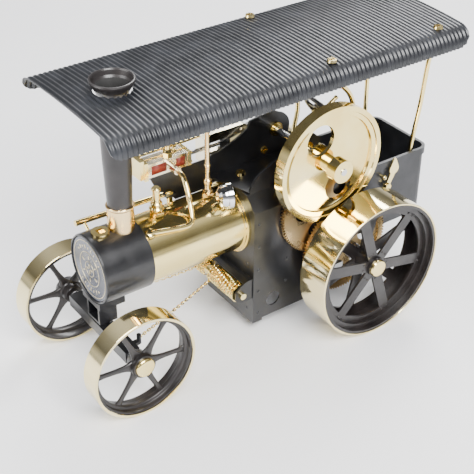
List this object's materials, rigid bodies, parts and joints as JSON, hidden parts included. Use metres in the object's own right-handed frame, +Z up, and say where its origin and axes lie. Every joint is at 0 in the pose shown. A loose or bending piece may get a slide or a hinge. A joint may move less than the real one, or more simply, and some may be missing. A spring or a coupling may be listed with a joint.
{
  "type": "model steam traction engine",
  "caption": "Toy live-steam traction engine: brass boiler, single-cylinder engine with flywheel, gear drive to the rear wheels, chain steering and a ribbed canopy.",
  "frame": {"origin": "centre of the overall box, on the ground between the wheels", "axes": "+X towards the chimney and the front wheels, +Y to the engine's left, which is the flywheel side, +Z up"},
  "size_m": [0.3234, 0.1608, 0.2263],
  "materials": {
    "brass": "polished",
    "brass_bright": "polished, lightly milled",
    "black_paint": "gloss enamel",
    "black_wheel": "satin enamel",
    "canopy_black": "satin, corrugated",
    "steel": "bright",
    "nickel": "nickel plate",
    "dark_steel": "plain",
    "plate_dark": "enamelled ornament",
    "copper": "reddish brass"
  },
  "bodies": {
    "chassis": {"boiler": "brass", "boiler_ends": "brass", "boiler_band": "brass", "smokebox": "black_paint", "smokebox_front": "plate_dark", "chimney": "black_paint", "chimney_collar": "brass", "smokebox_plug": "brass", "safety_valve": "brass", "whistle": "copper", "gauge_case": "nickel", "gauge_pipe": "brass", "handrail": "brass", "firebox": "black_paint", "firebox_rivets": "black_paint", "hornplates": "black_paint", "tender": "black_paint", "tow_bar": "brass", "engine_bed": "black_paint", "brass_screws": "brass", "shaft_bearings": "brass", "cylinder_block": "brass_bright", "cylinder_covers": "brass", "oil_cup": "brass", "slide_bars": "brass_bright", "steam_rail": "brass", "exhaust_pipe": "brass", "gear_stud": "steel", "perch": "black_paint", "steering_bracket": "black_paint", "canopy": "canopy_black", "canopy_posts": "brass"},
    "crank": {"crankshaft": "steel", "crank_pinion": "brass", "flywheel": "brass", "flywheel_boss": "brass"},
    "idler": {"gear_wheel": "brass"},
    "rear_wheels": {"rear_axle": "steel", "drive_wheel": "brass", "rear_rims": "brass", "rear_spokes": "black_wheel", "rear_caps": "brass"},
    "piston": {"piston": "steel"},
    "connecting_rod": {"connecting_rod": "dark_steel"},
    "valve_rod": {"valve_rod": "brass"},
    "front_axle": {"axle_beam": "black_paint", "front_axle": "steel"},
    "front_wheel_left": {"front_rim_left": "brass", "front_spokes_left": "black_wheel"},
    "front_wheel_right": {"front_rim_right": "brass", "front_spokes_right": "black_wheel"},
    "steering_drum": {"steering_drum": "brass", "chain_left": "brass_bright", "chain_right": "brass_bright"},
    "steering_column": {"steering_column": "brass", "steering_wheel": "black_wheel"},
    "safety_stem": {"safety_stem": "brass"},
    "gauge_needle": {"gauge_needle": "black_paint"},
    "tender_lever": {"tender_lever": "brass"},
    "burner_tray": {"burner_tray": "steel"}
  },
  "joints": [
    {"name": "crank_spin", "type": "hinge", "parent": "chassis", "child": "crank", "pos_m": [-0.0394, 0, 0.1395], "axis": [0, 1, 0], "continuous": true},
    {"name": "idler_spin", "type": "hinge", "parent": "chassis", "child": "idler", "pos_m": [-0.04672, 0, 0.0949], "axis": [0, 1, 0], "continuous": true},
    {"name": "rear_wheel_spin", "type": "hinge", "parent": "chassis", "child": "rear_wheels", "pos_m": [-0.0671, 0, 0.055], "axis": [0, 1, 0], "continuous": true},
    {"name": "piston_slide", "type": "slide", "parent": "chassis", "child": "piston", "axis": [1, 0, 0], "range_m": [-0.008, 0.008]},
    {"name": "connecting_rod_swing", "type": "hinge", "parent": "piston", "child": "connecting_rod", "pos_m": [0.0029, 0, 0.139], "axis": [0, 1, 0], "range_deg": [-21.5, 0.5]},
    {"name": "valve_rod_slide", "type": "slide", "parent": "chassis", "child": "valve_rod", "axis": [1, 0, 0], "range_m": [-0.0025, 0.0025]},
    {"name": "steer", "type": "hinge", "parent": "chassis", "child": "front_axle", "pos_m": [0.1224, 0, 0.04], "axis": [0, 0, 1], "range_deg": [-22, 22], "deforming": ["chain_left", "chain_right"]},
    {"name": "front_spin_left", "type": "hinge", "parent": "front_axle", "child": "front_wheel_left", "pos_m": [0.1224, 0, 0.0393], "axis": [0, 1, 0], "continuous": true},
    {"name": "front_spin_right", "type": "hinge", "parent": "front_axle", "child": "front_wheel_right", "pos_m": [0.1224, 0, 0.0393], "axis": [0, 1, 0], "continuous": true},
    {"name": "drum_turn", "type": "hinge", "parent": "chassis", "child": "steering_drum", "pos_m": [0.0229, 0, 0.04], "axis": [0, 1, 0], "range_deg": [-119, 119]},
    {"name": "column_turn", "type": "hinge", "parent": "chassis", "child": "steering_column", "pos_m": [0.02944, -0.0342, 0.05006], "axis": [-0.8387, 0, 0.5446], "range_deg": [-713.3, 713.3]},
    {"name": "safety_lift", "type": "slide", "parent": "chassis", "child": "safety_stem", "axis": [0, 0, 1], "range_m": [0, 0.0015]},
    {"name": "gauge_needle_turn", "type": "hinge", "parent": "chassis", "child": "gauge_needle", "pos_m": [0.0273, 0.017, 0.1216], "axis": [-0.9563, 0.2924, 0], "range_deg": [0, 240]},
    {"name": "tender_lever_turn", "type": "hinge", "parent": "chassis", "child": "tender_lever", "pos_m": [-0.1111, 0, 0.089], "axis": [0, 1, 0], "range_deg": [-20, 20]},
    {"name": "burner_slide", "type": "slide", "parent": "chassis", "child": "burner_tray", "axis": [-1, 0, 0], "range_m": [0, 0.06]}
  ],
  "couplings": [
    {"joint": "idler_spin", "follows": "crank_spin", "ratio": -0.22826},
    {"joint": "rear_wheel_spin", "follows": "crank_spin", "ratio": 0.038043},
    {"joint": "drum_turn", "follows": "steer", "ratio": 5.4},
    {"joint": "column_turn", "follows": "steer", "ratio": 32.4}
  ]
}
